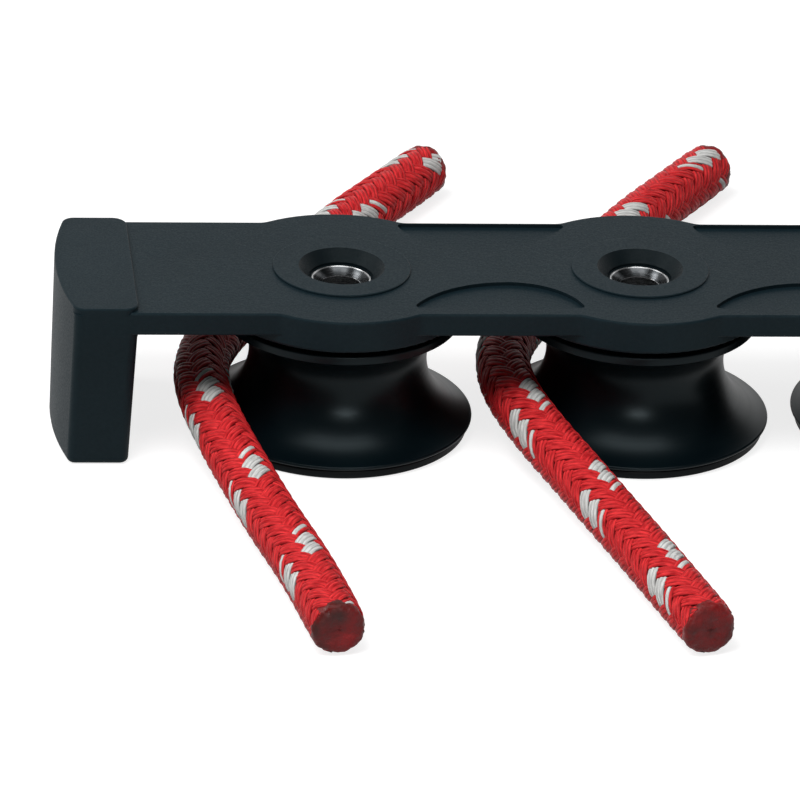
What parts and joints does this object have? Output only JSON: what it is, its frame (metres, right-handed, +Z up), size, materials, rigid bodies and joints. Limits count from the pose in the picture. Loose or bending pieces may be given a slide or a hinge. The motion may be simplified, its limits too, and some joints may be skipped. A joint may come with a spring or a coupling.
{
  "type": "rope deck organizer",
  "caption": "Low moulded frame on two end legs holding a row of free-turning ball-bearing sheaves that lead lines aft along a deck, with lines laid in.",
  "frame": {"origin": "on the deck, under the axis of the middle sheave", "axes": "+X along the row of sheaves towards its right end in the picture, +Y across the row towards the back, +Z up from the deck"},
  "size_m": [0.2562, 0.2377, 0.038],
  "materials": {
    "frame": "glass-filled nylon, fine moulded grain",
    "sheave": "turned and polished acetal",
    "base_disc": "smooth acetal",
    "hub": "turned stainless steel, bright",
    "race": "smooth acetal",
    "balls": "polished acetal",
    "line": "plaited polyester, red with white flecks"
  },
  "bodies": {
    "base": {"frame": "frame", "line_1": "line", "line_2": "line", "base_disc_1": "base_disc", "hub_1": "hub", "lower_race_1": "race", "upper_race_1": "race", "base_disc_2": "base_disc", "hub_2": "hub", "lower_race_2": "race", "upper_race_2": "race", "base_disc_3": "base_disc", "hub_3": "hub", "lower_race_3": "race", "upper_race_3": "race"},
    "sheave_1": {"sheave_1": "sheave"},
    "balls_1": {"lower_balls_1": "balls", "upper_balls_1": "balls"},
    "sheave_2": {"sheave_2": "sheave"},
    "balls_2": {"lower_balls_2": "balls", "upper_balls_2": "balls"},
    "sheave_3": {"sheave_3": "sheave"},
    "balls_3": {"lower_balls_3": "balls", "upper_balls_3": "balls"}
  },
  "joints": [
    {"name": "sheave_1_spin", "type": "hinge", "parent": "base", "child": "sheave_1", "pos_m": [-0.0655, 0, 0.0151], "axis": [0, 0, 1], "continuous": true},
    {"name": "balls_1_orbit", "type": "hinge", "parent": "base", "child": "balls_1", "pos_m": [-0.0655, 0, 0.0151], "axis": [0, 0, 1], "continuous": true},
    {"name": "sheave_2_spin", "type": "hinge", "parent": "base", "child": "sheave_2", "pos_m": [0, 0, 0.0151], "axis": [0, 0, 1], "continuous": true},
    {"name": "balls_2_orbit", "type": "hinge", "parent": "base", "child": "balls_2", "pos_m": [0, 0, 0.0151], "axis": [0, 0, 1], "continuous": true},
    {"name": "sheave_3_spin", "type": "hinge", "parent": "base", "child": "sheave_3", "pos_m": [0.0655, 0, 0.0151], "axis": [0, 0, 1], "continuous": true},
    {"name": "balls_3_orbit", "type": "hinge", "parent": "base", "child": "balls_3", "pos_m": [0.0655, 0, 0.0151], "axis": [0, 0, 1], "continuous": true}
  ],
  "couplings": [
    {"joint": "balls_1_orbit", "follows": "sheave_1_spin", "ratio": 0.6271},
    {"joint": "balls_2_orbit", "follows": "sheave_2_spin", "ratio": 0.6271},
    {"joint": "balls_3_orbit", "follows": "sheave_3_spin", "ratio": 0.6271}
  ]
}
